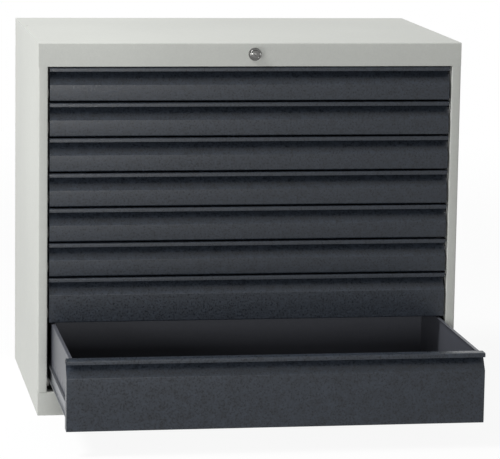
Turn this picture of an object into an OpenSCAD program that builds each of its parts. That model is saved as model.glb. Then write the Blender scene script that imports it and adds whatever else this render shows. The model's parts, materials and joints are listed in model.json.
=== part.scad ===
// Steel drawer cabinet with eight full-width drawers on nylon rollers and one central lock.
// Millimetres. Origin: middle of the footprint, on the floor. +X is right as seen from the
// front, the fronts face -Y, +Z is up. The lowest drawer stands part way open.

/* [Cabinet] */
// Width over the side panels
cab_w = 910; // [600:5:1300]
// Depth from the front flanges to the back
cab_d = 600; // [480:5:800]
// Height of the header strip above the drawers
header_h = 50; // [46:1:80]
// Height of the plinth strip below the drawers
plinth_h = 50; // [30:1:120]
// Width of the flange down each side of the opening
flange_w = 20; // [16:0.5:30]
// Depth of the folded return behind each front flange
return_d = 20; // [14:0.5:24]
// Thickness of the casing sheet
case_t = 1.5; // [1:0.1:2]
// Diameter of the two holes in the top
top_hole_d = 6; // [4:0.5:8]

/* [Drawers] */
// Height module of the six shallow drawers
shallow_h = 75; // [65:1:120]
// Height module of the seventh drawer
middle_h = 100; // [65:1:200]
// Height module of the lowest drawer
deep_h = 150; // [65:1:300]
// How far the lowest drawer stands open
open_y = 375; // [0:5:400]
// Thickness of the drawer fronts
front_t = 1.5; // [1:0.1:2]
// Thickness of the trays
tray_t = 1.2; // [0.8:0.1:2]
// Gap between a front and the side flanges
side_gap = 4; // [2:0.5:6]
// Gap between one front and the next
front_gap = 3.5; // [2:0.5:6]
// Width of the folded rim round a tray
rim_w = 8; // [5:0.5:15]

/* [Handle] */
// Height of the lip that the fingers pull
lip_h = 9; // [6:0.5:14]
// Height from the top of a front to the foot of its slanted face
grip_h = 37; // [30:0.5:45]
// Depth of the finger recess
grip_d = 19.5; // [14:0.5:24]
// Depth of the plate over the recess
top_plate_d = 28; // [25:0.5:36]

/* [Runners] */
// Diameter of the nylon roller on the casing
front_roller_d = 24; // [16:0.5:24]
// Diameter of the nylon roller on the drawer
rear_roller_d = 22; // [14:0.5:24]
// Diameter of the roller axles
axle_d = 6; // [4:0.5:8]
// Height of the drawer rail
rail_h = 31; // [20:0.5:36]
// Depth of the drawer rail beside the tray
rail_w = 6; // [5:0.5:8]
// Thickness of the rails
rail_t = 1.5; // [1:0.1:2]
// Thickness of the perforated posts
post_t = 5; // [3:0.5:6]
// Width of the perforated posts
post_w = 30; // [20:1:40]

/* [Lock] */
// Diameter of the lock's outer ring
lock_d = 28; // [24:0.5:32]
// Distance of the lock to the right of the middle
lock_x = 5; // [-60:1:60]
// Radius on which the drive pin turns
cam_r = 10; // [8:0.5:11]

/* [Hidden] */
$fn = 48;

casing_grey = [0.78, 0.79, 0.77];
front_grey = [0.22, 0.24, 0.26];
zinc = [0.72, 0.73, 0.74];
nylon = [0.90, 0.89, 0.86];

// Drawer modules, counted from the top
modules = [shallow_h, shallow_h, shallow_h, shallow_h, shallow_h, shallow_h, middle_h, deep_h];
drawer_count = len(modules);
function stack(from) = from >= drawer_count ? 0 : modules[from] + stack(from + 1);
function floor_z(i) = plinth_h + stack(i);
front_rise = 0.25;
function front_z0(i) = floor_z(i) + front_gap / 2 + front_rise;
function front_z1(i) = floor_z(i) + modules[i - 1] - front_gap / 2 + front_rise;
function drawer_y(i) = i == drawer_count ? -open_y : 0;
cab_h = plinth_h + stack(0) + header_h;
header_z = cab_h - header_h;

// Places across the width
half_w = cab_w / 2;
inner_x = half_w - case_t;
open_x = half_w - flange_w;
front_x = open_x - side_gap;
tray_x = front_x - rail_w;
web_x = inner_x - post_t;

// Places along the depth
front_y = -cab_d / 2;
back_y = cab_d / 2;
tray_y0 = front_y + top_plate_d;
rear_gap = 45;
tray_y1 = back_y - rear_gap;
rail_y0 = front_y + 36;
rail_y1 = tray_y1 + 7;
post_gap = 2;
front_post_y = rail_y0 + post_gap + post_w / 2;
rear_post_y = tray_y1;
front_axle_y = rail_y0 + 16;
rear_axle_y = tray_y1 - 20;

// Heights of the runner, counted from the foot of a drawer's module
run_gap = 0.35;
bore_gap = 0.05;
slack = 0.3;
rail_z0 = 27;
rail_z1 = rail_z0 + rail_h;
tray_z0 = rail_z0 + 1;
front_axle_z = rail_z0 - run_gap - front_roller_d / 2;
rear_axle_z = (rail_z0 + rail_z1) / 2 + 0.65;
channel_z0 = rear_axle_z - rear_roller_d / 2 - run_gap - rail_t;
channel_z1 = rear_axle_z + rear_roller_d / 2 + run_gap + rail_t;

// Places of the rollers across the width
front_roller_x = tray_x + 1;
front_roller_w = 8;
channel_x = front_x + 2;
rear_roller_x = channel_x + 1;
rear_roller_w = 7;
collar_r = axle_d / 2 + 2;
head_t = 1.2;

// Screws, post holes and buffers
hole_pitch = 25;
post_hole_r = 3;
screw_r = 2.5;
screw_head_r = 4.5;
screw_head_t = 2.2;
screw_l = 5.5;
screw_gap = 0.25;
buffer_t = 3;
buffer_h = 12;

// Lock
lock_z = cab_h - 24;
lock_out = 11;
barrel_r = 9;
body_r = 11;
body_y1 = front_y + 28;
barrel_y1 = front_y + 30;
cam_t = 3;
pin_r = 2.5;
pin_gap = 0.6;
pin_angle = 45;
lock_travel = 2 * cam_r * sin(pin_angle);
rod_t = 3;
bar_y = barrel_y1 + cam_t + 0.5;
rod_h = 12;
rod_z = cab_h - 30;
strip_t = 3;
strip_y = front_y + 23.5;
strip_x = open_x + 5;
strip_z0 = plinth_h + 22;
strip_pin_x = open_x - 5;
strip_pin_z = cab_h - 18;
hook_h = 10;
lug_h = 8;
lug_z = 34;
hook_z = lug_z + lug_h + 2;
guide_t = 1.2;
bend_r = 2.5;

// Rounded corners: a corner b between a and c becomes an arc of radius r in n steps
function unit(v) = v / norm(v);
function turned(v, a) = [v.x * cos(a) - v.y * sin(a), v.x * sin(a) + v.y * cos(a)];
function side_of(u, v) = u.x * v.y - u.y * v.x > 0 ? -1 : 1;
function corner(a, b, c, r, n) =
  let (u = unit(a - b), v = unit(c - b), half = acos(u * v) / 2)
  let (centre = b + unit(u + v) * r / sin(half), first = b + u * r / tan(half) - centre)
  let (turn = side_of(u, v) * (180 - 2 * half))
  [for (k = [0 : n]) centre + turned(first, turn * k / n)];
function rounded(pts, r, n = 3) = [
  for (i = [0 : len(pts) - 1])
    each (i == 0 || i == len(pts) - 1) ? [pts[i]] : corner(pts[i - 1], pts[i], pts[i + 1], r, n)
];

// A folded sheet: the outer face follows the points, the metal lies on their left
function left_of(v) = [-v.y, v.x];
function step_normal(p, i) =
  let (k = max(0, min(len(p) - 2, i)))
  left_of(unit(p[k + 1] - p[k]));
function mitre(p, i, t) =
  let (a = step_normal(p, i - 1), b = step_normal(p, i), m = unit(a + b))
  p[i] + m * t / (m * a);
module sheet(pts, t, r = bend_r) {
  path = rounded(pts, r);
  inner = [for (i = [len(path) - 1 : -1 : 0]) mitre(path, i, t)];
  polygon(concat(path, inner));
}

// Extrusions of a drawn section: (y, z) along X, and (x, z) along Y
module along_x(x0, x1) {
  translate([x0, 0, 0]) rotate([90, 0, 90]) linear_extrude(x1 - x0) children();
}
module along_y(y0, y1) {
  translate([0, y1, 0]) rotate([90, 0, 0]) linear_extrude(y1 - y0) children();
}
module box(x, y, z) {
  translate([x[0], y[0], z[0]]) cube([x[1] - x[0], y[1] - y[0], z[1] - z[0]]);
}
module rod_x(x0, x1, r) {
  translate([x0, 0, 0]) rotate([0, 90, 0]) cylinder(h = x1 - x0, r = r);
}
module rod_y(y0, y1, r, sides = $fn) {
  translate([0, y1, 0]) rotate([90, 0, 0]) cylinder(h = y1 - y0, r = r, $fn = sides);
}
module both_sides() {
  children();
  mirror([1, 0, 0]) children();
}
module on_side(s) {
  mirror([s < 0 ? 1 : 0, 0, 0]) children();
}

// Casing ------------------------------------------------------------------------------------

// Clears the side panels' own sheet out of a full-width strip
module side_relief(z0, z1) {
  both_sides() box([inner_x, half_w + 1], [front_y + case_t, back_y + 1], [z0, z1]);
}

module top_panel() {
  color(casing_grey) difference() {
    along_x(-half_w, half_w) sheet([
      [back_y, cab_h], [front_y, cab_h], [front_y, header_z], [front_y + return_d, header_z]
    ], case_t);
    side_relief(header_z - 1, cab_h - case_t);
    both_sides() translate([half_w - 10, cab_d / 6, cab_h - case_t - 1])
      cylinder(h = case_t + 2, d = top_hole_d);
    translate([lock_x, 0, lock_z]) rod_y(front_y - 1, front_y + case_t + 1, body_r + bore_gap);
  }
}

module plinth_panel() {
  color(casing_grey) difference() {
    along_x(-half_w, half_w) sheet([
      [rail_y0 - 1, plinth_h], [front_y, plinth_h], [front_y, 0]
    ], case_t);
    side_relief(-1, plinth_h + 1);
  }
}

module side_panel(s) {
  color(casing_grey) on_side(s) difference() {
    linear_extrude(cab_h - case_t) sheet([
      [open_x, front_y + return_d], [open_x, front_y], [half_w, front_y],
      [half_w, back_y], [half_w - 15, back_y]
    ], case_t);
    for (z = [[-1, plinth_h], [header_z, cab_h]]) {
      box([open_x - 1, inner_x], [front_y - 1, front_y + return_d + 1], z);
      box([open_x - 1, half_w + 1], [front_y - 1, front_y + case_t], z);
    }
  }
}

module back_panel() {
  x = half_w - bend_r - slack;
  color(casing_grey)
    box([-x, x], [back_y - 2 * case_t, back_y - case_t], [0, cab_h - case_t]);
}

module base_panel() {
  base_y0 = front_y + case_t;
  base_y1 = back_y - 2 * case_t;
  upturn = 25;
  color(casing_grey) along_x(-inner_x, inner_x) sheet([
    [base_y0, upturn], [base_y0, 0], [base_y1, 0], [base_y1, upturn]
  ], case_t);
}

module posts(s) {
  hole_z0 = plinth_h + rear_axle_z - hole_pitch;
  color(zinc) on_side(s) for (y = [front_post_y, rear_post_y]) difference() {
    box([web_x, inner_x], [y - post_w / 2, y + post_w / 2], [case_t, cab_h - case_t]);
    for (z = [hole_z0 : hole_pitch : header_z]) translate([0, y, z])
      rod_x(web_x - 1, inner_x + 1, post_hole_r);
    for (i = [1 : drawer_count]) translate([0, y, floor_z(i) + rear_axle_z])
      rod_x(web_x - 1, inner_x + 1, post_hole_r);
  }
}

// A channel open to the inside, with an ear and axle for the front roller under it
module cabinet_rail() {
  ear_w = front_roller_d + 8;
  ear_z0 = front_axle_z - collar_r - 2;
  rail_x1 = front_roller_x + front_roller_w + slack;
  difference() {
    union() {
      along_y(rail_y0, rail_y1) sheet([
        [channel_x, channel_z0], [web_x, channel_z0], [web_x, channel_z1], [channel_x, channel_z1]
      ], rail_t);
      box([web_x - rail_t, web_x], [rail_y0, rail_y0 + ear_w], [ear_z0, channel_z0 + bend_r]);
    }
    for (y = [front_post_y, rear_post_y]) translate([0, y, rear_axle_z])
      rod_x(web_x - rail_t - 1, web_x + 1, screw_r + screw_gap);
  }
  translate([0, front_axle_y, front_axle_z]) {
    rod_x(rail_x1, web_x - rail_t, collar_r);
    rod_x(front_roller_x - slack, rail_x1, axle_d / 2);
    rod_x(front_roller_x - slack - head_t, front_roller_x - slack, collar_r);
  }
}

module cabinet_rails(s) {
  color(zinc) on_side(s) for (i = [1 : drawer_count])
    translate([0, 0, floor_z(i)]) cabinet_rail();
}

// Something at both ends of every cabinet rail, on both sides
module at_rail_screws() {
  both_sides() for (i = [1 : drawer_count], y = [front_post_y, rear_post_y])
    translate([0, y, floor_z(i) + rear_axle_z]) children();
}

module rail_screws() {
  seat = web_x - rail_t;
  color(zinc) at_rail_screws() {
    rod_x(seat - screw_head_t, seat, screw_head_r);
    rod_x(seat, seat + screw_l, screw_r);
  }
}

module rail_buffers() {
  y0 = rear_axle_y + rear_roller_d / 2 + slack;
  color([0.12, 0.12, 0.12]) both_sides() for (i = [1 : drawer_count])
    translate([0, 0, floor_z(i) + rear_axle_z])
      box([rear_roller_x, web_x - rail_t], [y0, y0 + buffer_t], [-buffer_h / 2, buffer_h / 2]);
}

// Lock --------------------------------------------------------------------------------------

module lock_housing() {
  color([0.85, 0.86, 0.88]) translate([lock_x, 0, lock_z]) difference() {
    union() {
      rod_y(front_y - lock_out, front_y, lock_d / 2);
      rod_y(front_y, body_y1, body_r);
    }
    rod_y(front_y - lock_out - 1, body_y1 + 1, barrel_r + bore_gap);
  }
}

module lock_nut() {
  y0 = front_y + case_t;
  color(zinc) translate([lock_x, 0, lock_z]) difference() {
    rod_y(y0, y0 + 5, body_r * 1.5, 6);
    rod_y(y0 - 1, y0 + 6, body_r + bore_gap);
  }
}

module lock_barrel() {
  face_y = front_y - lock_out;
  key_w = 2.2;
  key_h = 8;
  color([0.85, 0.86, 0.88]) translate([lock_x, 0, lock_z]) difference() {
    rod_y(face_y, barrel_y1, barrel_r);
    box([-key_w / 2, key_w / 2], [face_y - 1, face_y + 6], [-key_h / 2, key_h / 2]);
  }
}

module lock_cam() {
  pin_x = -cam_r * sin(pin_angle);
  pin_z = cam_r * cos(pin_angle);
  color(zinc) translate([lock_x, 0, lock_z]) {
    rod_y(barrel_y1, barrel_y1 + cam_t, cam_r + pin_r + 1.5);
    translate([pin_x, 0, pin_z]) rod_y(barrel_y1 + cam_t - 0.5, bar_y + rod_t + 0.5, pin_r);
  }
}

// A flat bar along X: a slot up its left plate takes the cam's pin, and a slot at 45 degrees
// in its right plate drives the strip's pin
module lock_rod() {
  cam_x = lock_x - cam_r * sin(pin_angle);
  slot_w = pin_r + pin_gap;
  end_x = strip_pin_x + pin_r + 5;
  plate_z0 = strip_pin_z - lock_travel - 7;
  plate_z1 = strip_pin_z + 7;
  color(zinc) difference() {
    union() {
      box([cam_x - 9, cam_x + 9], [bar_y, bar_y + rod_t], [rod_z, lock_z + cam_r + 7]);
      box([cam_x, end_x], [bar_y, bar_y + rod_t], [rod_z, rod_z + rod_h]);
      box([end_x - lock_travel - 18, end_x], [bar_y, bar_y + rod_t], [plate_z0, plate_z1]);
    }
    box([cam_x - slot_w, cam_x + slot_w], [bar_y - 1, bar_y + rod_t + 1],
      [lock_z + cam_r * cos(pin_angle) - slot_w, lock_z + cam_r + slot_w]);
    translate([strip_pin_x, 0, strip_pin_z]) rotate([0, 45, 0])
      box([-pin_r - slack, pin_r + slack], [bar_y - 1, bar_y + rod_t + 1],
        [-lock_travel * sqrt(2) - pin_r - slack, pin_r + slack]);
  }
}

// An upright bar behind the right flange
module lock_strip() {
  color(zinc) box([strip_x, inner_x - 1.5], [strip_y, strip_y + strip_t],
    [strip_z0, strip_pin_z + 7]);
}

// Tabs welded to the bar's edge: one with the pin that the rod drives, and a hook for each drawer
module lock_tabs() {
  strip_y1 = strip_y + strip_t;
  color(zinc) {
    box([strip_pin_x - 5, strip_x], [strip_y, strip_y1], [strip_pin_z - 7, strip_pin_z + 7]);
    for (i = [1 : drawer_count])
      box([front_x + 1, strip_x], [strip_y, strip_y1],
        [floor_z(i) + hook_z, floor_z(i) + hook_z + hook_h]);
    translate([strip_pin_x, 0, strip_pin_z]) rod_y(strip_y1, bar_y + rod_t + 1, pin_r);
  }
}

// Brackets that the rod and the strip slide in
module lock_guides() {
  strip_y1 = strip_y + strip_t;
  guide_w = 16;
  color(zinc) {
    for (z = [floor_z(8) + 90, floor_z(6) + 10, floor_z(1) + 8]) {
      for (y = [strip_y - slack - guide_t, strip_y1 + slack])
        box([strip_x + 3, inner_x], [y, y + guide_t], [z, z + guide_w]);
      box([inner_x - guide_t, inner_x], [strip_y - slack - guide_t, strip_y1 + slack + guide_t],
        [z, z + guide_w]);
    }
    for (x = [half_w / 3, half_w * 2 / 3] + [-guide_w / 2, -guide_w / 2]) {
      for (z = [rod_z - slack - guide_t, rod_z + rod_h + slack])
        box([x, x + guide_w], [front_y + case_t, bar_y + rod_t + 1], [z, z + guide_t]);
      box([x, x + guide_w], [front_y + case_t, front_y + case_t + guide_t],
        [rod_z - slack - guide_t, rod_z + rod_h + slack + guide_t]);
    }
  }
}

// Drawers -----------------------------------------------------------------------------------

// Folded front with a finger recess under a full-width lip, and closed ends below the recess
module drawer_front(i) {
  z0 = front_z0(i);
  z1 = front_z1(i);
  foot_d = 14;
  inset = front_t / 2;
  color(front_grey) translate([0, drawer_y(i) + front_y, 0]) {
    along_x(-front_x, front_x) {
      sheet([
        [grip_d, z1 - front_t], [grip_d, z1 - lip_h - 0.5], [0, z1 - grip_h], [0, z0], [foot_d, z0]
      ], front_t);
      sheet([
        [top_plate_d, z1 - lip_h - 3], [top_plate_d, z1], [0, z1], [0, z1 - lip_h]
      ], front_t);
    }
    for (x = [-front_x, front_x - front_t]) along_x(x, x + front_t) polygon([
      [inset, z0 + inset], [top_plate_d, z0 + inset], [top_plate_d, z1 - lip_h - 1],
      [grip_d + inset, z1 - lip_h - 1], [inset, z1 - grip_h - inset / 2]
    ]);
  }
}

// Folded tray: floor, walls and a rim turned inwards
module drawer_tray(i) {
  z0 = floor_z(i) + tray_z0;
  z1 = front_z1(i);
  embed = tray_t / 2;
  rim_r = 2;
  color([0.42, 0.44, 0.46]) translate([0, drawer_y(i), 0]) {
    along_y(tray_y0, tray_y1) sheet([
      [-tray_x + rim_w, z1], [-tray_x, z1], [-tray_x, z0],
      [tray_x, z0], [tray_x, z1], [tray_x - rim_w, z1]
    ], tray_t, rim_r);
    along_x(-tray_x + embed, tray_x - embed) {
      sheet([[tray_y0, z1 - embed], [tray_y0, z0 + embed]], tray_t);
      sheet([
        [tray_y1, z0 + embed], [tray_y1, z1], [tray_y1 - rim_w, z1]
      ], tray_t, rim_r);
    }
  }
}

// Channel open to the outside, with the rear roller's stub axle riveted in its web; the right
// one has the lug that the lock's hook catches
module drawer_rail(i, lug) {
  axle_x1 = rear_roller_x + rear_roller_w + slack;
  web_x1 = tray_x + rail_t;
  seat_x = web_x1 + bore_gap;
  translate([0, drawer_y(i), floor_z(i)]) {
    difference() {
      along_y(tray_y0, tray_y1) sheet([
        [front_x, rail_z1], [tray_x, rail_z1], [tray_x, rail_z0], [front_x, rail_z0]
      ], rail_t);
      translate([0, rear_axle_y, rear_axle_z]) rod_x(tray_x - 1, web_x1 + 1, axle_d / 2 + bore_gap);
    }
    translate([0, rear_axle_y, rear_axle_z]) {
      rod_x(tray_x, seat_x, axle_d / 2);
      rod_x(seat_x, rear_roller_x - slack, collar_r);
      rod_x(rear_roller_x - slack, axle_x1, axle_d / 2);
      rod_x(axle_x1, axle_x1 + head_t, collar_r);
    }
    if (lug) box([seat_x, front_x + 3], [tray_y0, tray_y0 + 4], [lug_z, lug_z + lug_h]);
  }
}

module drawer_rails(i) {
  color(zinc) {
    drawer_rail(i, true);
    mirror([1, 0, 0]) drawer_rail(i, false);
  }
}

module roller(x, w, d) {
  difference() {
    rod_x(x, x + w, d / 2);
    rod_x(x - 1, x + w + 1, axle_d / 2 + bore_gap);
  }
}

module rear_rollers(i) {
  color(nylon) translate([0, drawer_y(i) + rear_axle_y, floor_z(i) + rear_axle_z])
    both_sides() roller(rear_roller_x, rear_roller_w, rear_roller_d);
}

module front_rollers(i) {
  color(nylon) translate([0, front_axle_y, floor_z(i) + front_axle_z])
    both_sides() roller(front_roller_x, front_roller_w, front_roller_d);
}

top_panel();
side_panel(-1);  // left_side_panel
side_panel(1);  // right_side_panel
back_panel();
base_panel();
plinth_panel();
posts(-1);  // left_posts
posts(1);  // right_posts
cabinet_rails(-1);  // left_cabinet_rails
cabinet_rails(1);  // right_cabinet_rails
rail_screws();
rail_buffers();
lock_housing();
lock_nut();
lock_guides();
lock_barrel();
lock_cam();
lock_rod();
lock_strip();
lock_tabs();
for (i = [1 : drawer_count]) {
  drawer_front(i);
  drawer_tray(i);
  drawer_rails(i);
  rear_rollers(i);
  front_rollers(i);
}
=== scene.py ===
"""Steel drawer cabinet: folded casing, drawer fronts, trays, rollers and lock on the fixed frame.

Metres, in the frame's axes: +X is right as seen from the front, the fronts face -Y, +Z is up.
"""

import json
import math

import bpy
import numpy as np
from mathutils import Matrix, Vector


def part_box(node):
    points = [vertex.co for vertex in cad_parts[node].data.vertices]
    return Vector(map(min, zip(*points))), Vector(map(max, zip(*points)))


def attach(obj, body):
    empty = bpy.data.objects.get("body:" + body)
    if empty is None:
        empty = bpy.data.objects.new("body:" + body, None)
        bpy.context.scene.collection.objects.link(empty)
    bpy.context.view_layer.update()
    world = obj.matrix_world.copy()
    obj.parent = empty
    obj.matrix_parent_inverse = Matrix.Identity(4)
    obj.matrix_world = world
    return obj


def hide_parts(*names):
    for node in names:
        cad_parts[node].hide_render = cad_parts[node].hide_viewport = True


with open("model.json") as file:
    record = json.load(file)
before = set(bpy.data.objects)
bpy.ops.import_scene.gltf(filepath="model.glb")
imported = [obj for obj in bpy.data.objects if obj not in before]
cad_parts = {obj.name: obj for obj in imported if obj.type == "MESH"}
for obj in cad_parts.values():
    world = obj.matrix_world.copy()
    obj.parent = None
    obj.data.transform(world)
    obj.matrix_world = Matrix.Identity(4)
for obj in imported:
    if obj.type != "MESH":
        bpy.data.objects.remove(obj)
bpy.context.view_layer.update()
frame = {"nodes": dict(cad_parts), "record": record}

bl_info = {
    "name": "Steel Drawer Cabinet",
    "version": (1, 0, 0),
    "blender": (4, 5, 0),
    "location": "View3D > Sidebar > Cabinet",
    "description": "Builds the visible sheets, rollers and lock of a drawer cabinet",
    "category": "Add Mesh",
}

# Places that the frame gives
TOP_LO, TOP_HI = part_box("top_panel")
HALF_W, CAB_H = TOP_HI[0], TOP_HI[2]
FRONT_Y, BACK_Y = TOP_LO[1], TOP_HI[1]
HEADER_Z = TOP_LO[2]
PLINTH_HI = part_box("plinth_panel")[1]
SIDE_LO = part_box("right_side_panel")[0]
BACK_LO, BACK_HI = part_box("back_panel")
BASE_LO, BASE_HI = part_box("base_panel")
LOCK_LO, LOCK_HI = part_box("lock_housing")
BARREL_LO, BARREL_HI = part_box("lock_barrel")
LOCK_X, LOCK_Z = (LOCK_LO[0] + LOCK_HI[0]) / 2, (LOCK_LO[2] + LOCK_HI[2]) / 2
DRAWERS = range(1, 9)

# Sizes that two steps share
RETURN_D = 0.020  # from the front to the end of the sheet turned in behind a strip or flange
LOCK_R = 0.011  # the lock's body, and its hole in the header
SLIVER = 0.0001  # room between sheets that would share a face


# Surfaces -----------------------------------------------------------------------------------


def unit(v):
    """A vector over its own length."""
    return v / np.linalg.norm(v)


def rounded(points, radius, steps=6):
    """A path whose corners are arcs: each arc is centred on the corner's bisector at
    radius / sin(half the corner's angle), and runs between the two tangent points."""
    points = np.asarray(points, float)
    path = [points[:1]]
    for a, b, c in zip(points, points[1:], points[2:]):
        u, v = unit(a - b), unit(c - b)
        half = math.acos(float(np.clip(u @ v, -1, 1))) / 2
        centre = b + unit(u + v) * radius / math.sin(half)
        start = b + u * radius / math.tan(half) - centre
        turn = (math.pi - 2 * half) * (-1 if u[0] * v[1] - u[1] * v[0] > 0 else 1)
        t = np.linspace(0, turn, steps + 1)[:, None]
        side = np.array([-start[1], start[0]])
        path.append(centre + np.cos(t) * start + np.sin(t) * side)
    path.append(points[-1:])
    return np.vstack(path)


def beside(path, distance):
    """The path moved to its left by a distance: each point goes along the mean of the normals
    on either side of it, lengthened by one over the cosine of half the turn."""
    step = np.diff(path, axis=0)
    normal = np.column_stack([-step[:, 1], step[:, 0]])
    normal /= np.linalg.norm(normal, axis=1, keepdims=True)
    before = np.vstack([normal[:1], normal])
    after = np.vstack([normal, normal[-1:]])
    mean = before + after
    mean /= np.linalg.norm(mean, axis=1, keepdims=True)
    return path + mean * distance / np.sum(mean * before, axis=1, keepdims=True)


def flipped(faces):
    """The same faces seen from the other side. Faces are rows of four points; a triangle
    repeats its last point, before and after."""
    return faces[:, [1, 0, 3, 2]]


def outward(verts, faces):
    """The faces, turned round if the volume under them, a sum of triple products, is negative."""
    a, b, c, d = (verts[faces[:, k]] for k in range(4))
    volume = np.sum(a * (np.cross(b, c) + np.cross(c, d)))
    return faces if volume > 0 else flipped(faces)


def placed(axis, along, across):
    """Points at a place along one axis; the other two coordinates follow in X, Y, Z order."""
    along = np.broadcast_to(along, across.shape[:-1])
    return np.insert(across, "xyz".index(axis), along, axis=-1)


def folded_sheet(points, thickness, radius, axis, lo, hi, steps=6):
    """A bent sheet carried straight along an axis. The section is the rounded path and the
    same path moved left by the thickness; one ring of it stands at each end, joined by quads
    along the sheet and across both cut ends."""
    outer = rounded(points, radius, steps) if radius else np.asarray(points, float)
    inner = beside(outer, thickness)
    ring = np.vstack([outer, inner[::-1]])
    n, m = len(ring), len(outer)
    verts = np.vstack([placed(axis, lo, ring), placed(axis, hi, ring)])
    j = np.arange(n)
    k = (j + 1) % n
    around = np.column_stack([j, k, k + n, j + n])
    i = np.arange(m - 1)
    cap = np.column_stack([i, n - 1 - i, n - 2 - i, i + 1])
    return verts, outward(verts, np.vstack([around, cap, flipped(cap) + n]))


def plate(outline, axis, lo, hi):
    """A flat plate: an outline of points, extruded along an axis."""
    ring = np.asarray(outline, float)
    n = len(ring)
    verts = np.vstack([placed(axis, lo, ring), placed(axis, hi, ring)])
    j = np.arange(n)
    k = (j + 1) % n
    around = np.column_stack([j, k, k + n, j + n])
    i = np.arange(1, n - 1)
    fan = np.column_stack([0 * i, i, i + 1, i + 1])
    return verts, outward(verts, np.vstack([around, flipped(fan), fan + n]))


def block(lo, hi):
    """A rectangular cutter between two corners."""
    return plate([(lo[1], lo[2]), (hi[1], lo[2]), (hi[1], hi[2]), (lo[1], hi[2])], "x", lo[0], hi[0])


def turned(profile, axis, centre, sides=64, closed=False):
    """A lathe shape. The profile's points are (distance along the axis, radius); each ring is
    centre + radius * (cos a, sin a) across the axis. An open profile ends on the axis."""
    profile = np.asarray(profile, float)
    a = np.linspace(0, 2 * math.pi, sides, endpoint=False)
    across = profile[:, None, 1:2] * np.stack([np.cos(a), np.sin(a)], axis=-1)
    verts = placed(axis, profile[:, :1], across) + np.asarray(centre)
    rows = len(profile)
    index = np.arange(rows * sides).reshape(rows, sides)
    if closed:
        index = np.vstack([index, index[:1]])
    else:
        index[0], index[-1] = index[0, 0], index[-1, 0]
    here, there = index[:-1], index[1:]
    faces = np.stack([here, np.roll(here, -1, 1), np.roll(there, -1, 1), there], axis=-1)
    faces = faces.reshape(-1, 4)
    if not closed:
        faces[:sides] = np.roll(faces[:sides], 2, axis=1)
    return compact(verts.reshape(-1, 3), faces)


def compact(verts, faces):
    """The same faces with only the points that they use."""
    used, place = np.unique(faces, return_inverse=True)
    verts, faces = verts[used], place.reshape(-1, 4)
    return verts, outward(verts, faces)


def joined(parts):
    """Several (points, faces) pairs as one."""
    starts = np.cumsum([0] + [len(v) for v, f in parts[:-1]])
    verts = np.vstack([v for v, f in parts])
    return verts, np.vstack([f + start for (v, f), start in zip(parts, starts)])


def mirrored(part):
    """The part on the other side of the middle plane x = 0."""
    verts, faces = part
    return verts * [-1, 1, 1], flipped(faces)


def new_object(name, parts):
    """A mesh object at the origin from (points, faces) pairs."""
    verts, faces = joined(parts)
    three = faces[:, 2] == faces[:, 3]
    mesh = bpy.data.meshes.new(name)
    mesh.from_pydata(verts.tolist(), [], faces[~three].tolist() + faces[three, :3].tolist())
    mesh.validate()
    piece = bpy.data.objects.new(name, mesh)
    bpy.context.scene.collection.objects.link(piece)
    return piece


def cut(piece, parts):
    """Takes the cutters out of the piece with an exact boolean, and keeps the result."""
    cutter = new_object("cutter", parts)
    tool = piece.modifiers.new("Cut", "BOOLEAN")
    tool.object, tool.operation, tool.solver = cutter, "DIFFERENCE", "EXACT"
    graph = bpy.context.evaluated_depsgraph_get()
    result = bpy.data.meshes.new_from_object(piece.evaluated_get(graph))
    piece.modifiers.clear()
    old, piece.data = piece.data, result
    result.name = piece.name
    bpy.data.meshes.remove(old)
    spare = cutter.data
    bpy.data.objects.remove(cutter)
    bpy.data.meshes.remove(spare)


def finish_piece(piece, material, body, slot, *nodes, bevel=0.0003):
    sharp, square, rings = math.radians(32), math.radians(50), 2
    mesh = piece.data
    mesh.materials.clear()
    mesh.materials.append(material)
    mesh.shade_smooth()
    mesh.set_sharp_from_angle(angle=sharp)
    if bevel:
        edge = piece.modifiers.new("Edges", "BEVEL")
        edge.width, edge.segments, edge.limit_method = bevel, rings, "ANGLE"
        edge.angle_limit, edge.harden_normals = square, True
        edge.use_clamp_overlap = True
    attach(piece, body)
    if nodes:
        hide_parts(*nodes)
    return piece


# Materials ----------------------------------------------------------------------------------


class Value:
    """A number that varies over a surface: a wrapped output socket with the usual operators."""

    def __init__(self, nodes, socket):
        self.nodes, self.socket = nodes, socket

    def _math(self, operation, *values):
        return self.nodes.node("Math", {"operation": operation}, dict(enumerate(values)))

    def other(self, name):
        """Another output of the same node."""
        return Value(self.nodes, self.socket.node.outputs[name])

    def __add__(self, other):
        return self._math("ADD", self, other)

    def __sub__(self, other):
        return self._math("SUBTRACT", self, other)

    def __rsub__(self, other):
        return self._math("SUBTRACT", other, self)

    def __mul__(self, other):
        return self._math("MULTIPLY", self, other)

    __radd__ = __add__
    __rmul__ = __mul__

    def larger(self, other):
        return self._math("MAXIMUM", self, other)

    def swing(self, size):
        """A noise, which stays near a half, as a swing of this size about zero."""
        return (self - 0.5) * size


class Nodes:
    """Adds nodes to one tree."""

    def __init__(self, tree):
        self.tree = tree

    def node(self, kind, settings=None, inputs=None, out=0):
        """Adds a node: its settings first, then the values or links of its sockets."""
        made = self.tree.nodes.new("ShaderNode" + kind)
        for key, value in (settings or {}).items():
            setattr(made, key, value)
        for key, value in (inputs or {}).items():
            self.join(value, self.find(made.inputs, key))
        return Value(self, self.find(made.outputs, out))

    def find(self, sockets, key):
        """The socket in use that has this name, or this place in the order."""
        live = [s for s in sockets if s.enabled]
        return live[key] if isinstance(key, int) else next(s for s in live if s.name == key)

    def join(self, value, socket):
        """Links a value to a socket, or sets a plain number or colour on it."""
        if isinstance(value, Value):
            self.tree.links.new(value.socket, socket)
        else:
            socket.default_value = value


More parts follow.
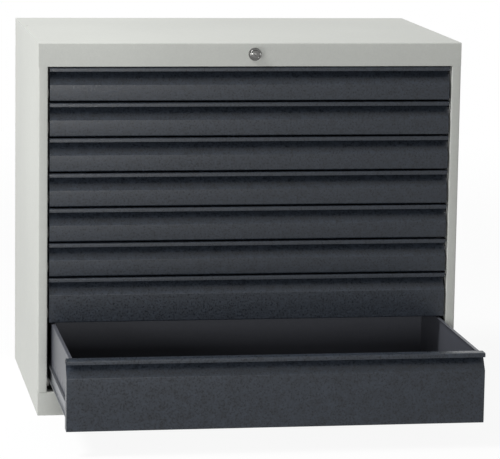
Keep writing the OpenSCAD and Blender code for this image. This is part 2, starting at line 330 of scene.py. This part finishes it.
class Finish(Nodes):
    """One material: a Principled shader and the nodes that feed it."""

    def __init__(self, name, **constants):
        self.material = bpy.data.materials.new(name)
        self.material.use_nodes = True
        super().__init__(self.material.node_tree)
        self.shader = self.tree.nodes["Principled BSDF"]
        self.feed(**constants)
        self.place = self.node("TexCoord", out="Object")

    def feed(self, **values):
        """Joins values to the shader's sockets."""
        for socket, value in values.items():
            self.join(value, self.shader.inputs[socket.replace("_", " ")])
        return self.material

    def noise(self, scale, detail=2.0, roughness=0.5, stretch=(1, 1, 1)):
        """Noise on the piece's own metres; a stretch below 1 draws it out along that axis."""
        place = self.node("Mapping", inputs={"Vector": self.place, "Scale": stretch})
        return self.node("TexNoise", inputs={
            "Vector": place, "Scale": scale, "Detail": detail, "Roughness": roughness})

    def blend(self, factor, a, b):
        """One colour at factor 0, the other at 1."""
        return self.node("Mix", {"data_type": "RGBA"}, {"Factor": factor, "A": a, "B": b})

    def bump(self, height, strength, distance, normal=None):
        """The normal over a height in metres, on top of another bump's if there is one."""
        inputs = {"Height": height, "Strength": strength, "Distance": distance}
        if normal:
            inputs["Normal"] = normal
        return self.node("Bump", inputs=inputs)


def shade(colour, gain):
    """A colour made lighter or darker, with full alpha."""
    return tuple(min(1.0, c * gain) for c in colour[:3]) + (1.0,)


def textured_coat(name, colour, roughness, grain, mottle, gloss):
    """Powder coat: flow marks 10 mm across, orange peel of 4 mm, fine grit on it, a slow drift
    of tone over the sheet, and specks that are a little lighter or darker."""
    peel_height, grit_height = 0.0002, 0.00003
    coat = Finish(name, Specular_IOR_Level=gloss)
    drift = coat.noise(2.3, detail=2)
    flow = coat.noise(60, detail=3, roughness=0.7)
    peel = coat.noise(230, detail=3, roughness=0.7)
    grit = coat.noise(1500, detail=2, roughness=0.6)
    tone = drift.swing(0.25) + flow.swing(mottle) + peel.swing(mottle) * 1.6 + 0.5
    mixed = coat.blend(tone, shade(colour, 0.5), shade(colour, 1.5))
    rough = drift.swing(0.10) + peel.swing(mottle) * 0.5 + grit.swing(0.08) + roughness
    under = coat.bump(peel, grain, peel_height)
    normal = coat.bump(grit, grain * 0.4, grit_height, under)
    return coat.feed(Base_Color=mixed, Roughness=rough, Normal=normal)


def zinc_plate(name, colour):
    """Zinc-plated steel: cloudy patches, lines drawn along the strip, and a few dull spots."""
    roughness, strength, line_height = 0.38, 0.25, 0.00003
    zinc = Finish(name, Metallic=1.0)
    cloud = zinc.noise(38, detail=3, roughness=0.6)
    drawn = zinc.noise(900, detail=2, stretch=(0.6, 0.02, 0.6))
    spots = zinc.noise(160, detail=2, roughness=0.7)
    tone = cloud.swing(0.7) + drawn.swing(0.3) + 0.5
    mixed = zinc.blend(tone, shade(colour, 0.74), shade(colour, 1.2))
    rough = cloud.swing(0.25) + spots.swing(0.12) + roughness
    normal = zinc.bump(drawn, strength, line_height)
    return zinc.feed(Base_Color=mixed, Roughness=rough, Normal=normal)


def polished_chrome(name, colour):
    """Chrome: faint wiping marks in the gloss and a very shallow ripple."""
    roughness, strength, ripple_height = 0.13, 0.05, 0.0001
    chrome = Finish(name, Metallic=1.0)
    wipe = chrome.noise(420, detail=2, roughness=0.6, stretch=(1, 0.2, 0.25))
    ripple = chrome.noise(120, detail=1)
    mixed = chrome.blend(wipe, shade(colour, 0.93), shade(colour, 1.05))
    rough = wipe.swing(0.10) + roughness
    normal = chrome.bump(ripple, strength, ripple_height)
    return chrome.feed(Base_Color=mixed, Roughness=rough, Normal=normal)


def moulded(name, colour, roughness, grain):
    """A moulded part: fine grain, a soft drift of tone."""
    grain_height = 0.00004
    part = Finish(name)
    drift = part.noise(60, detail=2)
    fine = part.noise(1800, detail=2, roughness=0.6)
    tone = drift.swing(0.5) + fine.swing(0.25) + 0.5
    mixed = part.blend(tone, shade(colour, 0.86), shade(colour, 1.1))
    rough = fine.swing(0.15) + roughness
    normal = part.bump(fine, grain, grain_height)
    return part.feed(Base_Color=mixed, Roughness=rough, Normal=normal)


FINISHES = {}


def finish_of(key):
    """The finish with this name, made once from the panel's colours."""
    if key not in FINISHES:
        look = bpy.context.scene.cabinet_look
        makers = {
            "casing": lambda: textured_coat(
                "casing_coat", look.casing, roughness=0.5, grain=0.2, mottle=0.1, gloss=0.4),
            "front": lambda: textured_coat(
                "front_coat", look.front, roughness=0.34, grain=1.0, mottle=1.5, gloss=0.34),
            "tray": lambda: textured_coat(
                "tray_coat", look.tray, roughness=0.38, grain=0.16, mottle=0.15, gloss=0.22),
            "zinc": lambda: zinc_plate("rail_zinc_plate", look.zinc),
            "chrome": lambda: polished_chrome("lock_chrome_plate", look.chrome),
            "nylon": lambda: moulded(
                "roller_nylon_moulding", look.nylon, roughness=0.42, grain=0.12),
            "rubber": lambda: moulded(
                "buffer_rubber_moulding", look.rubber, roughness=0.75, grain=0.35),
        }
        FINISHES[key] = makers[key]()
    return FINISHES[key]


# Settings -----------------------------------------------------------------------------------


def colour_setting(name, default):
    return bpy.props.FloatVectorProperty(
        name=name, description=name + " of the finish, linear", subtype="COLOR",
        size=3, min=0, max=1, default=default)


def length_setting(name, description, default):
    return bpy.props.FloatProperty(
        name=name, description=description, default=default, min=0, unit="LENGTH", precision=4)


class CabinetLook(bpy.types.PropertyGroup):
    """Colours of the finishes."""

    casing: colour_setting("Casing grey", (0.585, 0.598, 0.563))
    front: colour_setting("Front grey", (0.021, 0.0265, 0.036))
    # Tray grey: partly the trays' own dark grey paint, and partly painted shade, since it is set
    # darker so the inside of the open drawer looks shaded
    tray: colour_setting("Tray grey", (0.082, 0.086, 0.101))
    zinc: colour_setting("Zinc", (0.27, 0.28, 0.30))
    # Chrome grey: a painted dark reflection, as the chrome is kept this dark to stand in for a dark
    # room mirrored in the lock
    chrome: colour_setting("Chrome", (0.15, 0.15, 0.145))
    nylon: colour_setting("Nylon", (0.74, 0.73, 0.69))
    rubber: colour_setting("Rubber", (0.02, 0.02, 0.021))


class CabinetSheets(bpy.types.PropertyGroup):
    """Sizes of the folded sheets."""

    case_t: length_setting("Casing sheet", "Thickness of the casing sheet", 0.0015)
    front_t: length_setting("Front sheet", "Thickness of the drawer fronts", 0.0015)
    tray_t: length_setting("Tray sheet", "Thickness of the trays", 0.0012)
    bend_r: length_setting("Bend", "Outer radius of the folds", 0.0025)
    lip_h: length_setting("Lip", "Height of the lip at the top of a front", 0.009)
    lip_r: length_setting("Lip rounding", "Outer radius at the lip's top edge", 0.0032)
    grip_h: length_setting("Grip", "From the top of a front to the foot of its slanted face", 0.037)
    grip_d: length_setting("Recess", "Depth of the finger recess", 0.0195)
    foot_d: length_setting("Foot", "Depth of the fold along a front's lower edge", 0.014)
    rim_w: length_setting("Rim", "Width of the rim round a tray", 0.008)
    hole_r: length_setting("Top holes", "Radius of the two holes in the top", 0.003)
    hole_inset: length_setting("Hole inset", "From the side to the middle of a hole", 0.010)
    slot_w: length_setting("Divider slot", "Width of the slots for dividers", 0.0025)
    slot_h: length_setting("Divider slot height", "Height of the slots for dividers", 0.013)
    slot_pitch: length_setting("Slot pitch", "Distance between divider slots", 0.050)


class CabinetStage(bpy.types.PropertyGroup):
    """Camera and light."""

    camera: bpy.props.FloatVectorProperty(
        name="Camera", description="Place of the camera", subtype="TRANSLATION",
        unit="LENGTH", default=(-0.980, -6.131, 1.367))
    heading: bpy.props.FloatProperty(
        name="Heading", description="Turn of the view to the right", subtype="ANGLE",
        default=math.radians(9.54))
    dip: bpy.props.FloatProperty(
        name="Dip", description="Tilt of the view below the horizon", subtype="ANGLE",
        default=math.radians(9.30))
    roll: bpy.props.FloatProperty(
        name="Roll", description="Turn of the picture about its middle", subtype="ANGLE",
        default=math.radians(0.89))
    lens: bpy.props.FloatProperty(
        name="Lens", description="Focal length in millimetres", default=201.1, min=20)


# Pieces -------------------------------------------------------------------------------------


class PieceOperator:
    """What every step of the cabinet shares."""

    bl_options = {"REGISTER", "UNDO"}

    def execute(self, context):
        self.make(context.scene.cabinet_sheets)
        return {"FINISHED"}


class CABINET_OT_top(PieceOperator, bpy.types.Operator):
    """Top sheet with the header strip folded down from it"""

    bl_idname = "cabinet.top"
    bl_label = "Top panel"

    def make(self, s):
        """The fold path runs from the back edge over the top and down the header, and a shelf
        turns in from the header's foot. The holes in the top lie a third of its depth from the
        back, so a sixth behind the middle."""
        path = [(BACK_Y, CAB_H), (FRONT_Y, CAB_H), (FRONT_Y, HEADER_Z)]
        skin = folded_sheet(path, s.case_t, s.bend_r, "x", -HALF_W, HALF_W, steps=8)
        inner = HALF_W - s.case_t
        shelf = folded_sheet(
            [(FRONT_Y + s.case_t, HEADER_Z), (FRONT_Y + RETURN_D, HEADER_Z)],
            s.case_t, 0, "x", -inner, inner)
        top = new_object("casing_top", [skin])
        x = HALF_W - s.hole_inset
        y = (BACK_Y - FRONT_Y) / 6
        down, up = CAB_H - 3 * s.case_t, CAB_H + s.case_t
        drill = [(down, 0), (down, s.hole_r), (up, s.hole_r), (up, 0)]
        before, behind = FRONT_Y - 0.002, FRONT_Y + 0.004
        bore = [(before, 0), (before, LOCK_R), (behind, LOCK_R), (behind, 0)]
        cut(top, [turned(drill, "z", (side * x, y, 0), sides=32) for side in (-1, 1)]
            + [turned(bore, "y", (LOCK_X, 0, LOCK_Z), sides=48)])
        finish_piece(top, finish_of("casing"), "casing", "casing_paint", "top_panel")
        under = new_object("casing_header_return", [shelf])
        finish_piece(under, finish_of("casing"), "casing", "casing_paint")


class CABINET_OT_sides(PieceOperator, bpy.types.Operator):
    """Side panels with their front flanges and returns"""

    bl_idname = "cabinet.sides"
    bl_label = "Side panels"

    def make(self, s):
        """The fold path goes from the return behind the flange, round the side, to the rear
        flange. Plinth and header strips take the flange's place below and above."""
        rear_flange, past = 0.015, 0.01
        open_x, top = SIDE_LO[0], CAB_H - s.case_t
        return_y = FRONT_Y + RETURN_D
        path = [(open_x, return_y), (open_x, FRONT_Y), (HALF_W, FRONT_Y),
                (HALF_W, BACK_Y), (HALF_W - rear_flange, BACK_Y)]
        inner = HALF_W - s.case_t
        sheet = folded_sheet(path, s.case_t, s.bend_r, "z", 0, top, steps=8)
        flange, face = [], []
        for z0, z1 in ((-past, PLINTH_HI[2] + SLIVER), (HEADER_Z - SLIVER, CAB_H + past)):
            flange.append(block((open_x - past, FRONT_Y - past, z0),
                                (inner - SLIVER, return_y + past, z1)))
            face.append(block((inner - 2 * SLIVER, FRONT_Y - past, z0),
                              (HALF_W + past, FRONT_Y + s.case_t, z1)))
        for name, turn in (("right", lambda part: part), ("left", mirrored)):
            panel = new_object(f"casing_side_{name}", [turn(sheet)])
            cut(panel, [turn(trim) for trim in flange])
            cut(panel, [turn(trim) for trim in face])
            finish_piece(panel, finish_of("casing"), "casing", "casing_paint",
                         f"{name}_side_panel")


class CABINET_OT_plinth(PieceOperator, bpy.types.Operator):
    """Plinth strip, base pan and back panel"""

    bl_idname = "cabinet.plinth"
    bl_label = "Plinth, base and back"

    def make(self, s):
        """Folded strips carried along X. The back has a shallow pressed border: its height over
        the plate is a smooth step of the distance from the edge."""
        tuck, fold_in = 0.002, 0.0008
        coat = finish_of("casing")
        inner = HALF_W - s.case_t
        z = PLINTH_HI[2]
        face = folded_sheet([(FRONT_Y + tuck, z), (FRONT_Y, z), (FRONT_Y, 0)],
                            s.case_t, fold_in + s.case_t, "x", -HALF_W, HALF_W)
        shelf = folded_sheet([(PLINTH_HI[1], z), (FRONT_Y + s.case_t, z)],
                             s.case_t, 0, "x", -inner, inner)
        plinth = new_object("casing_plinth", [face, shelf])
        finish_piece(plinth, coat, "casing", "casing_paint", "plinth_panel")
        y0, y1, up = BASE_LO[1], BASE_HI[1], BASE_HI[2]
        pan = folded_sheet([(y0, up), (y0, 0), (y1, 0), (y1, up)],
                           s.case_t, s.bend_r, "x", -inner, inner)
        base = new_object("casing_base", [pan])
        finish_piece(base, coat, "casing", "casing_paint", "base_panel")
        back = new_object("casing_back", [self.pressed_back(s)])
        finish_piece(back, coat, "casing", "casing_paint", "back_panel", bevel=0)

    def pressed_back(self, s):
        """A closed plate of two grids. Both are moved in by press * smooth(d), where d is the
        distance from the nearest edge of the pressed field over the width of its slope."""
        border, slope, press, rows = 0.045, 0.012, 0.0012, 7
        x0, x1 = BACK_LO[0], BACK_HI[0]
        z0, z1 = BACK_LO[2], BACK_HI[2]
        steps = np.concatenate([[0], border + slope * np.linspace(0, 1, rows)])
        xs = np.concatenate([x0 + steps, x1 - steps[::-1]])
        zs = np.concatenate([z0 + steps, z1 - steps[::-1]])
        x, z = np.meshgrid(xs, zs, indexing="ij")
        edge = np.minimum.reduce([x - x0, x1 - x, z - z0, z1 - z])
        t = np.clip((edge - border) / slope, 0, 1)
        inward = press * t * t * (3 - 2 * t)
        grids = [np.stack([x, y - inward, z], axis=-1) for y in (BACK_HI[1], BACK_LO[1])]
        n, m = x.shape
        verts = np.concatenate([g.reshape(-1, 3) for g in grids])
        index = np.arange(n * m).reshape(n, m)
        a, b, c, d = index[:-1, :-1], index[1:, :-1], index[1:, 1:], index[:-1, 1:]
        quads = np.stack([a, b, c, d], axis=-1).reshape(-1, 4)
        rim = np.concatenate([index[:-1, 0], index[-1, :-1], index[:0:-1, -1], index[0, :0:-1]])
        nxt = np.roll(rim, -1)
        edge = np.column_stack([nxt, rim, rim + n * m, nxt + n * m])
        return verts, outward(verts, np.vstack([quads, flipped(quads) + n * m, edge]))


class CABINET_OT_fronts(PieceOperator, bpy.types.Operator):
    """Drawer fronts with a finger recess under a full-width lip"""

    bl_idname = "cabinet.fronts"
    bl_label = "Drawer fronts"

    def make(self, s):
        for i in DRAWERS:
            node = f"drawer_{i}_front"
            front = new_object(f"front_{i}", self.front(s, *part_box(node)))
            finish_piece(front, finish_of("front"), f"drawer_{i}", "front_paint", node)

    def front(self, s, lo, hi):
        """Two folds carried along X: the face, which leans back under the lip, and the plate
        that ends in the lip. A plate closes each end below the recess. The face ends just
        inside the lip's sheet, and the end plates lie inside the face by a share of it."""
        seat, knee, tail, below = s.front_t * 0.98, 0.0005, 0.003, 0.001
        y0, y1, z0, z1 = lo[1], hi[1], lo[2], hi[2]
        lip_z = z1 - s.lip_h
        face = folded_sheet(
            [(y0 + s.grip_d, z1 - seat), (y0 + s.grip_d, lip_z - knee),
             (y0, z1 - s.grip_h), (y0, z0), (y0 + s.foot_d, z0)],
            s.front_t, s.bend_r, "x", lo[0], hi[0], steps=8)
        lip = folded_sheet(
            [(y1, lip_z - tail), (y1, z1), (y0, z1), (y0, lip_z)],
            s.front_t, s.lip_r, "x", lo[0], hi[0], steps=10)
        inset = s.front_t * 0.4
        low = lip_z - below
        back = y1 - inset / 4
        outline = [(y0 + inset, z0 + inset), (back, z0 + inset), (back, low),
                   (y0 + s.grip_d + inset, low), (y0 + inset, z1 - s.grip_h - inset / 2)]
        ends = [plate(outline, "x", x, x + s.front_t)
                for x in (lo[0] + SLIVER, hi[0] - s.front_t - SLIVER)]
        return [face, lip, *ends]


class CABINET_OT_trays(PieceOperator, bpy.types.Operator):
    """Folded trays with turned-in rims and divider slots"""

    bl_idname = "cabinet.trays"
    bl_label = "Drawer trays"

    def make(self, s):
        for i in DRAWERS:
            node = f"drawer_{i}_tray"
            lo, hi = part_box(node)
            tray = new_object(f"tray_{i}", self.folds(s, lo, hi))
            cut(tray, self.slots(s, lo, hi))
            finish_piece(tray, finish_of("tray"), f"drawer_{i}", "tray_paint", node)

    def folds(self, s, lo, hi):
        """The section from rim to rim is carried along Y. The rear wall folds over into a rim,
        and the front wall is plain, because the front's plate covers it."""
        fold_r = 0.002
        shell = folded_sheet(
            [(lo[0] + s.rim_w, hi[2]), (lo[0], hi[2]), (lo[0], lo[2]),
             (hi[0], lo[2]), (hi[0], hi[2]), (hi[0] - s.rim_w, hi[2])],
            s.tray_t, fold_r, "y", lo[1], hi[1], steps=8)
        x = hi[0] - s.tray_t
        z0 = lo[2] + s.tray_t
        seam = hi[2] - 2 * fold_r
        front = folded_sheet([(lo[1], hi[2] - s.tray_t), (lo[1], z0)], s.tray_t, 0, "x", -x, x)
        rear = folded_sheet([(hi[1], z0), (hi[1], seam)], s.tray_t, 0, "x", -x, x)
        rim = folded_sheet([(hi[1], seam), (hi[1], hi[2]), (hi[1] - s.rim_w, hi[2])],
                           s.tray_t, fold_r, "x", s.rim_w - hi[0], hi[0] - s.rim_w, steps=8)
        return [shell, front, rear, rim]

    def slots(self, s, lo, hi):
        """Upright slots at an even pitch in both side walls, above the floor."""
        rise = 0.034
        count = int((hi[1] - lo[1] - s.slot_pitch) // s.slot_pitch)
        first = (lo[1] + hi[1] - (count - 1) * s.slot_pitch) / 2
        z = lo[2] + rise
        x0, x1 = hi[0] - 2 * s.tray_t, hi[0] + 2 * s.tray_t
        made = []
        for y in first + s.slot_pitch * np.arange(count):
            one = block((x0, y - s.slot_w / 2, z), (x1, y + s.slot_w / 2, z + s.slot_h))
            made += [one, mirrored(one)]
        return made


class CABINET_OT_rollers(PieceOperator, bpy.types.Operator):
    """Nylon rollers with a rounded tread and a dished hub"""

    bl_idname = "cabinet.rollers"
    bl_label = "Rollers"

    def make(self, s):
        for i in DRAWERS:
            for end in ("front", "rear"):
                node = f"drawer_{i}_{end}_rollers"
                pair = new_object(f"rollers_{end}_{i}", self.pair(*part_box(node), end))
                finish_piece(pair, finish_of("nylon"), node, "roller_nylon", node, bevel=0)

    def pair(self, lo, hi, end):
        """A closed profile turned about the axle: a round-edged tread, a dish between tread and
        hub on both faces, and the bore."""
        width = {"front": 0.008, "rear": 0.007}[end]
        bore, hub, tread, dish = 0.00305, 0.0056, 0.0028, 0.0011
        ease, slope = 0.0009, 0.0006
        r = (hi[2] - lo[2]) / 2
        rim = r - tread
        centre = (0, (lo[1] + hi[1]) / 2, (lo[2] + hi[2]) / 2)
        a = np.linspace(0, math.pi / 2, 5)
        corner = np.column_stack([ease * (1 - np.cos(a)), r - ease + ease * np.sin(a)])
        half = np.vstack([
            [(0, bore), (0, hub - slope), (dish, hub + slope), (dish, rim - slope),
             (0, rim + slope)], corner])
        profile = np.vstack([half, (np.array([width, 0]) + half * [-1, 1])[::-1]])
        right = turned(profile + [hi[0] - width, 0], "x", centre, sides=48, closed=True)
        return [right, mirrored(right)]


class CABINET_OT_lock(PieceOperator, bpy.types.Operator):
    """Chrome cylinder lock with its ring and barrel"""

    bl_idname = "cabinet.lock"
    bl_label = "Lock"

    def make(self, s):
        """The ring's profile goes out over a thin rosette and round a domed collar; the barrel
        has a slightly domed face. Both are turned about the lock's axis."""
        axis_at = (LOCK_X, 0, LOCK_Z)
        face, tail = LOCK_LO[1], LOCK_HI[1]
        r_out = (LOCK_HI[0] - LOCK_LO[0]) / 2
        r_in = (BARREL_HI[0] - BARREL_LO[0]) / 2
        clear, rosette, taper, brim, fillet = 0.00005, 0.0016, 0.0002, 0.0016, 0.0003
        ease, throat = 0.0022, 0.0006
        neck = r_out - brim
        a = np.linspace(0, math.pi / 2, 9)
        dome = np.column_stack([face + ease * (1 - np.sin(a)), neck - ease + ease * np.cos(a)])
        profile = np.vstack([
            [(tail, r_in + clear), (tail, LOCK_R), (FRONT_Y, LOCK_R), (FRONT_Y, r_out),
             (FRONT_Y - rosette, r_out - taper), (FRONT_Y - rosette - fillet, neck)],
            dome, [(face + throat, r_in + clear)]])
        ring = new_object("lock_ring", [turned(profile, "y", axis_at, sides=96, closed=True)])
        finish_piece(ring, finish_of("chrome"), "casing", "lock_chrome", "lock_housing",
                     bevel=0.00015)
        sunk, crown, chamfer, shoulder = 0.0004, 0.0005, 0.0004, 0.0012
        t = np.linspace(0, 1, 9)
        cap = np.column_stack([face + sunk + crown * t ** 2, (r_in - chamfer) * t])
        end = BARREL_HI[1]
        body = np.vstack([cap, [(face + shoulder, r_in), (end, r_in), (end, 0)]])
        barrel = new_object("lock_plug", [turned(body, "y", axis_at, sides=96)])
        key_w, key_h, before, depth = 0.0011, 0.004, 0.002, 0.006
        cut(barrel, [block((LOCK_X - key_w, face - before, LOCK_Z - key_h),
                           (LOCK_X + key_w, face + depth, LOCK_Z + key_h))])
        finish_piece(barrel, finish_of("chrome"), "lock", "lock_chrome", "lock_barrel",
                     bevel=0.00012)


class CABINET_OT_metalwork(PieceOperator, bpy.types.Operator):
    """Finishes on the frame's own posts, rails, screws, buffers and lock gear"""

    bl_idname = "cabinet.metalwork"
    bl_label = "Rails, posts and lock gear"

    def make(self, s):
        finish = {"rail_zinc": "zinc", "buffer_rubber": "rubber"}
        slot_of = {p["node"]: p["material_slot"] for p in frame["record"]["subparts"]}
        for name, node in frame["nodes"].items():
            key = finish.get(slot_of[name])
            if key:
                node.data.materials.clear()
                node.data.materials.append(finish_of(key))


# Stage --------------------------------------------------------------------------------------


WHITE = (1, 1, 1, 1)


def seen_directly(nodes):
    """1 for rays from the camera and for those that metal or glass sends on, else 0."""
    ray = nodes.node("LightPath", out="Is Camera Ray")
    return ray.larger(ray.other("Is Glossy Ray")).larger(ray.other("Is Transmission Ray"))


def stage_material():
    """Paper that is seen as white. Near the cabinet a share of what is seen is the lit floor,
    which keeps the shadow; that share fades out between two distances from the middle. The
    paper is a mid grey to the light that falls on the cabinet from it."""
    near, far, glow_near = 1.3, 4.5, 0.92
    lit, shown = shade(WHITE, 0.40), shade(WHITE, 0.95)
    paper = Finish("stage_paper", Roughness=0.95, Specular_IOR_Level=0.0)
    seen = seen_directly(paper)
    distance = paper.node("VectorMath", {"operation": "LENGTH"}, {0: paper.place}, out="Value")
    fade = paper.node("MapRange", {"interpolation_type": "SMOOTHSTEP"},
                      {"Value": distance, "From Min": near, "From Max": far})
    paper.feed(Base_Color=paper.blend(seen, lit, shown))
    share = seen * (fade * (1 - glow_near) + glow_near)
    glow = paper.node("Emission", inputs={"Color": WHITE, "Strength": 1.0})
    surface = Value(paper, paper.shader.outputs[0])
    mixed = paper.node("MixShader", inputs={0: share, 1: surface, 2: glow})
    paper.join(mixed, paper.tree.nodes["Material Output"].inputs["Surface"])
    return paper.material


def soft_lamp(name, place, target, width, height, power):
    """A rectangular lamp that faces its target."""
    data = bpy.data.lights.new(name, "AREA")
    data.shape, data.size, data.size_y, data.energy = "RECTANGLE", width, height, power
    lamp = bpy.data.objects.new(name, data)
    bpy.context.scene.collection.objects.link(lamp)
    lamp.location = place
    lamp.rotation_euler = (Vector(target) - Vector(place)).to_track_quat("-Z", "Y").to_euler()


class CABINET_OT_stage(bpy.types.Operator):
    """Camera, floor and lamps"""

    bl_idname = "cabinet.stage"
    bl_label = "Stage"
    bl_options = {"REGISTER", "UNDO"}

    def execute(self, context):
        self.camera(context.scene, context.scene.cabinet_stage)
        self.floor()
        self.lamps(context.scene)
        return {"FINISHED"}

    def camera(self, scene, s):
        """The view's forward, right and up directions, from heading and dip, then rolled."""
        h, d, r = s.heading, s.dip, s.roll
        forward = Vector((math.sin(h) * math.cos(d), math.cos(h) * math.cos(d), -math.sin(d)))
        level = Vector((math.cos(h), -math.sin(h), 0))
        up = level.cross(forward)
        right = math.cos(r) * level + math.sin(r) * up
        up = math.cos(r) * up - math.sin(r) * level
        data = bpy.data.cameras.new("camera")
        data.lens, data.sensor_width = s.lens, 36
        data.clip_start, data.clip_end = 0.1, 100
        eye = bpy.data.objects.new("camera", data)
        turn = Matrix((right, up, -forward)).transposed().to_4x4()
        eye.matrix_world = Matrix.Translation(s.camera) @ turn
        scene.collection.objects.link(eye)
        scene.camera = eye

    def floor(self):
        """A wide flat sheet of paper."""
        reach = 30
        corners = np.array([(-1, -1, 0), (1, -1, 0), (1, 1, 0), (-1, 1, 0)]) * reach
        floor = new_object("stage_floor", [(corners, np.arange(4)[None])])
        floor.data.materials.append(stage_material())

    def lamps(self, scene):
        """A broad light high on the left for the top and the left side, a small one low in
        front whose sheen lies on the upper left of the fronts, and a weak one low on the left
        for the foot of the casing. The air adds a little light from everywhere."""
        soft_lamp("key", place=(-3.3, -0.8, 4.6), target=(0.1, 0.1, 0.6),
                  width=1.6, height=1.6, power=268)
        soft_lamp("sheen", place=(-0.45, -4.4, 0.68), target=(-0.1, -0.3, 0.6),
                  width=0.5, height=0.4, power=36)
        soft_lamp("low_left", place=(-1.7, -1.7, 0.35), target=(-0.45, -0.3, 0.15),
                  width=0.5, height=0.5, power=9)
        air_light, paper_light = 0.19, 1.0
        world = bpy.data.worlds.new("studio")
        world.use_nodes = True
        sky = Nodes(world.node_tree)
        air = sky.node("Background", inputs={"Color": WHITE, "Strength": air_light})
        paper = sky.node("Background", inputs={"Color": WHITE, "Strength": paper_light})
        mixed = sky.node("MixShader", inputs={0: seen_directly(sky), 1: air, 2: paper})
        sky.join(mixed, sky.tree.nodes["World Output"].inputs["Surface"])
        scene.world = world
        scene.view_settings.view_transform = "Standard"


class CABINET_PT_panel(bpy.types.Panel):
    """Lists the cabinet's pieces and settings"""

    bl_label = "Drawer cabinet"
    bl_space_type = "VIEW_3D"
    bl_region_type = "UI"
    bl_category = "Cabinet"

    def draw(self, context):
        for step in STEPS:
            self.layout.operator(step.bl_idname)
        for group in (context.scene.cabinet_look, context.scene.cabinet_sheets,
                      context.scene.cabinet_stage):
            column = self.layout.column()
            for name in group.__annotations__:
                column.prop(group, name)


STEPS = (CABINET_OT_top, CABINET_OT_sides, CABINET_OT_plinth, CABINET_OT_fronts,
         CABINET_OT_trays, CABINET_OT_rollers, CABINET_OT_lock, CABINET_OT_metalwork,
         CABINET_OT_stage)
GROUPS = {"cabinet_look": CabinetLook, "cabinet_sheets": CabinetSheets,
          "cabinet_stage": CabinetStage}


def register():
    for kind in (*GROUPS.values(), *STEPS, CABINET_PT_panel):
        bpy.utils.register_class(kind)
    for name, kind in GROUPS.items():
        setattr(bpy.types.Scene, name, bpy.props.PointerProperty(type=kind))


def unregister():
    for name in GROUPS:
        delattr(bpy.types.Scene, name)
    for kind in reversed((*GROUPS.values(), *STEPS, CABINET_PT_panel)):
        bpy.utils.unregister_class(kind)


def main():
    register()
    for step in STEPS:
        family, name = step.bl_idname.split(".")
        getattr(getattr(bpy.ops, family), name)()


if __name__ == "__main__":
    main()
